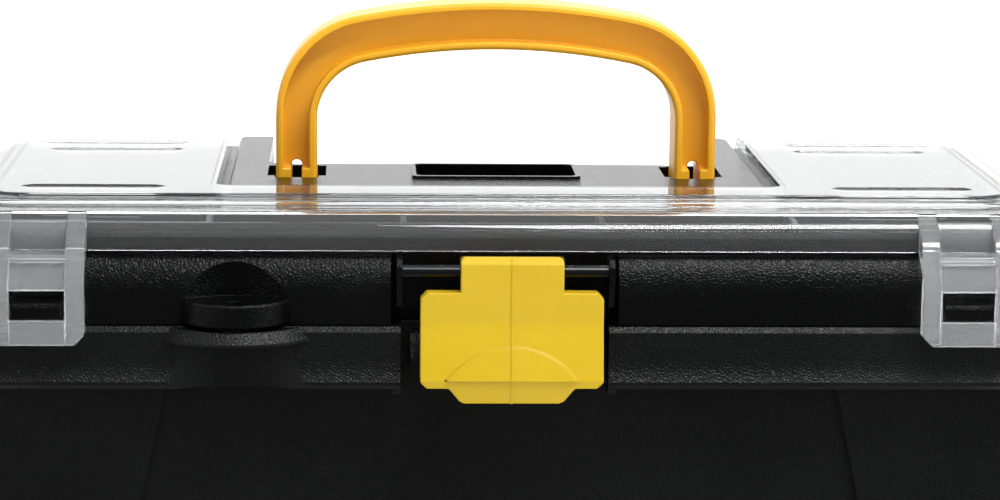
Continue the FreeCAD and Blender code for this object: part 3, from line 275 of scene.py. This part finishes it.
finishes = {
    "tubBlack": {
        "low": (0.0018, 0.002, 0.0021, 1), "high": (0.0032, 0.0035, 0.0036, 1),
        "smooth": 0.34, "rough": 0.44, "specular": 0.24,
        "cell": 1.15, "sand": 0.32, "sandShare": 0.3, "depth": 0.16, "strength": 0.9,
    },
    # the lid is the same black plastic as the tub, painted darker and given a lower specular
    # level: painted shade for its skirt, which faces the dim front of the studio
    "lidBlackPaintedShade": {
        "low": (0.0006, 0.0007, 0.0008, 1), "high": (0.0016, 0.0017, 0.0019, 1),
        "smooth": 0.26, "rough": 0.34, "specular": 0.16, "deckHeight": 150.0, "deckShare": 0.4,
        "cell": 1.15, "sand": 0.32, "sandShare": 0.3, "depth": 0.14, "strength": 0.8,
    },
    "trayBlack": {
        "low": (0.012, 0.012, 0.0125, 1), "high": (0.018, 0.018, 0.019, 1),
        "smooth": 0.42, "rough": 0.52, "specular": 0.4,
        "cell": 0.9, "sand": 0.3, "sandShare": 0.8, "depth": 0.05, "strength": 0.4,
    },
    "latchYellow": {
        "low": (0.48, 0.317, 0.006, 1), "high": (0.515, 0.348, 0.009, 1),
        "smooth": 0.36, "rough": 0.46, "specular": 0.3,
        "cell": 0.8, "sand": 0.28, "sandShare": 0.9, "depth": 0.05, "strength": 0.35,
    },
    "handleYellow": {
        "low": (0.72, 0.34, 0.010, 1), "high": (0.79, 0.39, 0.014, 1),
        "smooth": 0.30, "rough": 0.42, "specular": 0.4,
        "cell": 0.8, "sand": 0.28, "sandShare": 0.9, "depth": 0.04, "strength": 0.3,
    },
}


def makePlastic(name, look):
    material, shader = newMaterial(name)
    tree = material.node_tree
    grain, bump = addGrain(tree, look)
    worn = grain.outputs["Worn"]
    tree.links.new(bump.outputs["Normal"], shader.inputs["Normal"])
    tree.links.new(colorSpread(tree, worn, look["low"], look["high"]), shader.inputs["Base Color"])
    roughness = mapped(tree, worn, maskSpan, (look["smooth"], look["rough"]))
    if "deckHeight" in look:
        roughness = polishAbove(tree, roughness, look["deckHeight"] * mm, look["deckShare"])
    tree.links.new(roughness, shader.inputs["Roughness"])
    shader.inputs["Specular IOR Level"].default_value = look["specular"]
    return material


clearLooks = {
    "clearPlastic": {
        "color": (0.95, 0.96, 0.97, 1), "roughness": 0.03, "ior": 1.49, "through": 0.985,
    },
    "clearFrosted": {
        "color": (0.93, 0.94, 0.96, 1), "roughness": 0.16, "ior": 1.49, "through": 0.88,
    },
}


def makeClear(name, look):
    material, shader = newMaterial(name)
    shader.inputs["Base Color"].default_value = look["color"]
    shader.inputs["Roughness"].default_value = look["roughness"]
    shader.inputs["IOR"].default_value = look["ior"]
    shader.inputs["Transmission Weight"].default_value = look["through"]
    return material


steelLooks = {
    "steel": {"color": (0.45, 0.45, 0.46, 1), "roughness": 0.3},
    "darkSteel": {"color": (0.035, 0.036, 0.038, 1), "roughness": 0.28},
}


def makeSteel(name, look):
    material, shader = newMaterial(name)
    shader.inputs["Base Color"].default_value = look["color"]
    shader.inputs["Metallic"].default_value = 1.0
    shader.inputs["Roughness"].default_value = look["roughness"]
    return material


def paint(piece, *materials):
    piece.data.materials.clear()
    for material in materials:
        piece.data.materials.append(material)


meshCare = {"weld": 0.002, "flatAngle": 0.7, "sharpAngle": 30, "smoothAngle": 50}


def copyOf(look):
    # a copy of a CAD piece, with its triangles merged and its flat faces joined again
    source = nodes[look["node"]]
    bpy.ops.object.select_all(action="DESELECT")
    bpy.context.view_layer.objects.active = source
    source.select_set(True)
    bpy.ops.object.duplicate()
    piece = bpy.context.object
    piece.name = look["name"]
    bpy.ops.object.parent_clear(type="CLEAR_KEEP_TRANSFORM")
    bpy.ops.object.transform_apply(location=True, rotation=True, scale=True)
    bpy.ops.mesh.customdata_custom_splitnormals_clear()
    bpy.ops.object.mode_set(mode="EDIT")
    bpy.ops.mesh.select_all(action="SELECT")
    bpy.ops.mesh.remove_doubles(threshold=meshCare["weld"] * mm)
    bpy.ops.mesh.dissolve_limited(angle_limit=math.radians(meshCare["flatAngle"]))
    bpy.ops.object.mode_set(mode="OBJECT")
    return piece


def roundEdges(piece, width, steps, test=None):
    # bevels the sharp edges, or only those that the test on their two ends accepts
    bpy.context.view_layer.objects.active = piece
    bpy.ops.object.mode_set(mode="EDIT")
    bpy.ops.mesh.select_mode(type="EDGE")
    bpy.ops.mesh.select_all(action="DESELECT")
    bpy.ops.mesh.edges_select_sharp(sharpness=math.radians(meshCare["sharpAngle"]))
    if test:
        bpy.ops.object.mode_set(mode="OBJECT")
        mesh = piece.data
        picked = [edge.index for edge in mesh.edges
                  if edge.select and test(*(mesh.vertices[i].co for i in edge.vertices))]
        bpy.ops.object.mode_set(mode="EDIT")
        bpy.ops.mesh.select_all(action="DESELECT")
        bpy.ops.object.mode_set(mode="OBJECT")
        for index in picked:
            mesh.edges[index].select = True
        bpy.ops.object.mode_set(mode="EDIT")
    bpy.ops.mesh.bevel(offset=width * mm, segments=steps, profile=0.5, clamp_overlap=False)
    bpy.ops.object.mode_set(mode="OBJECT")


def finishPiece(piece, look, *materials):
    # smooth faces with sharp corners kept, its finish, its body and the CAD piece it stands for
    bpy.context.view_layer.objects.active = piece
    piece.select_set(True)
    bpy.ops.object.shade_smooth_by_angle(angle=math.radians(meshCare["smoothAngle"]))
    bpy.ops.object.modifier_add(type="WEIGHTED_NORMAL")
    piece.modifiers[-1].keep_sharp = True
    bpy.ops.object.modifier_apply(modifier=piece.modifiers[-1].name)
    paint(piece, *materials)
    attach(piece, look["body"])
    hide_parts(look["node"])


latchPiece = {
    "name": "roundedLatch", "node": "front_latch", "body": "latch", "slot": "latch_yellow",
    "edge": 0.5, "steps": 3, "crease": 103.9, "creaseReach": 1.3,
    "lineMiddle": 2.0, "lineHalf": 0.35, "lineHigh": 0.2, "lineFront": -90.5, "lineFacing": -0.3,
}


def raiseLine(piece, look):
    # a thin line stands out along the middle of the latch front
    middle, half = look["lineMiddle"] * mm, look["lineHalf"] * mm
    bpy.context.view_layer.objects.active = piece
    bpy.ops.object.mode_set(mode="EDIT")
    bpy.ops.mesh.select_mode(type="FACE")
    for place in (middle - half, middle + half):
        bpy.ops.mesh.select_all(action="SELECT")
        bpy.ops.mesh.bisect(plane_co=(place, 0, 0), plane_no=(1, 0, 0))
    bpy.ops.mesh.select_all(action="DESELECT")
    bpy.ops.object.mode_set(mode="OBJECT")
    for face in piece.data.polygons:
        facing = face.normal.y < look["lineFacing"] and face.center.y < look["lineFront"] * mm
        face.select = facing and abs(face.center.x - middle) < half
    bpy.ops.object.mode_set(mode="EDIT")
    bpy.ops.mesh.extrude_region_shrink_fatten(
        TRANSFORM_OT_shrink_fatten={"value": look["lineHigh"] * mm})
    bpy.ops.object.mode_set(mode="OBJECT")


def makeLatch(look, material):
    piece = copyOf(look)
    crease, reach = look["crease"] * mm, look["creaseReach"] * mm

    def offCrease(a, b):
        # the long edges of the bend above the thumb tab stay as they are
        return max(abs(a.z - crease), abs(b.z - crease)) > reach or abs(a.x - b.x) < reach

    roundEdges(piece, look["edge"], look["steps"], offCrease)
    raiseLine(piece, look)
    finishPiece(piece, look, material)
    print("latch is rounded")


handlePiece = {
    "name": "roundedHandle", "node": "carry_handle", "body": "handle", "slot": "handle_yellow",
    "edge": 0.5, "steps": 2, "archFoot": 155.0,
}


def makeHandle(look, material):
    piece = copyOf(look)
    foot = look["archFoot"] * mm
    roundEdges(piece, look["edge"], look["steps"], lambda a, b: min(a.z, b.z) > foot)
    finishPiece(piece, look, material)
    print("handle is rounded")


coverPiece = {
    "name": "roundedCover", "node": "clear_cover", "body": "cover", "slot": "clear_plastic",
    "edge": 0.3, "steps": 2, "clipInner": 132.2, "clipOuter": 162.4, "clipFront": -80.0,
}


def makeCover(look, *materials):
    piece = copyOf(look)
    roundEdges(piece, look["edge"], look["steps"])
    finishPiece(piece, look, *materials)
    for face in piece.data.polygons:  # the two clips are frosted, the rest is clear
        beside = look["clipInner"] * mm < abs(face.center.x) < look["clipOuter"] * mm
        face.material_index = 1 if beside and face.center.y < look["clipFront"] * mm else 0
    print("cover is rounded")


addCamera(cameraView)
addFloor()
setSky()
for lamp in lamps:
    addLamp(*lamp)
print("camera, floor and light are up")

grainGroup = makeGrainGroup(grainParts)
plastics = {name: makePlastic(name, look) for name, look in finishes.items()}
clears = {name: makeClear(name, look) for name, look in clearLooks.items()}
steels = {name: makeSteel(name, look) for name, look in steelLooks.items()}
coats = {
    # the lid takes the darker copy of the black plastic, which is painted shade
    "base_tub": plastics["tubBlack"], "main_lid": plastics["lidBlackPaintedShade"],
    "clear_cover": clears["clearPlastic"], "front_latch": plastics["latchYellow"],
    "carry_handle": plastics["handleYellow"], "tote_tray": plastics["trayBlack"],
    "latch_rod": steels["darkSteel"],
}
for name in nodes:
    coat = coats.get(name, steels["steel"] if "pin" in name else plastics["trayBlack"])
    paint(nodes[name], coat)
print("materials are on")

makeLatch(latchPiece, plastics["latchYellow"])
makeHandle(handlePiece, plastics["handleYellow"])
makeCover(coverPiece, clears["clearPlastic"], clears["clearFrosted"])
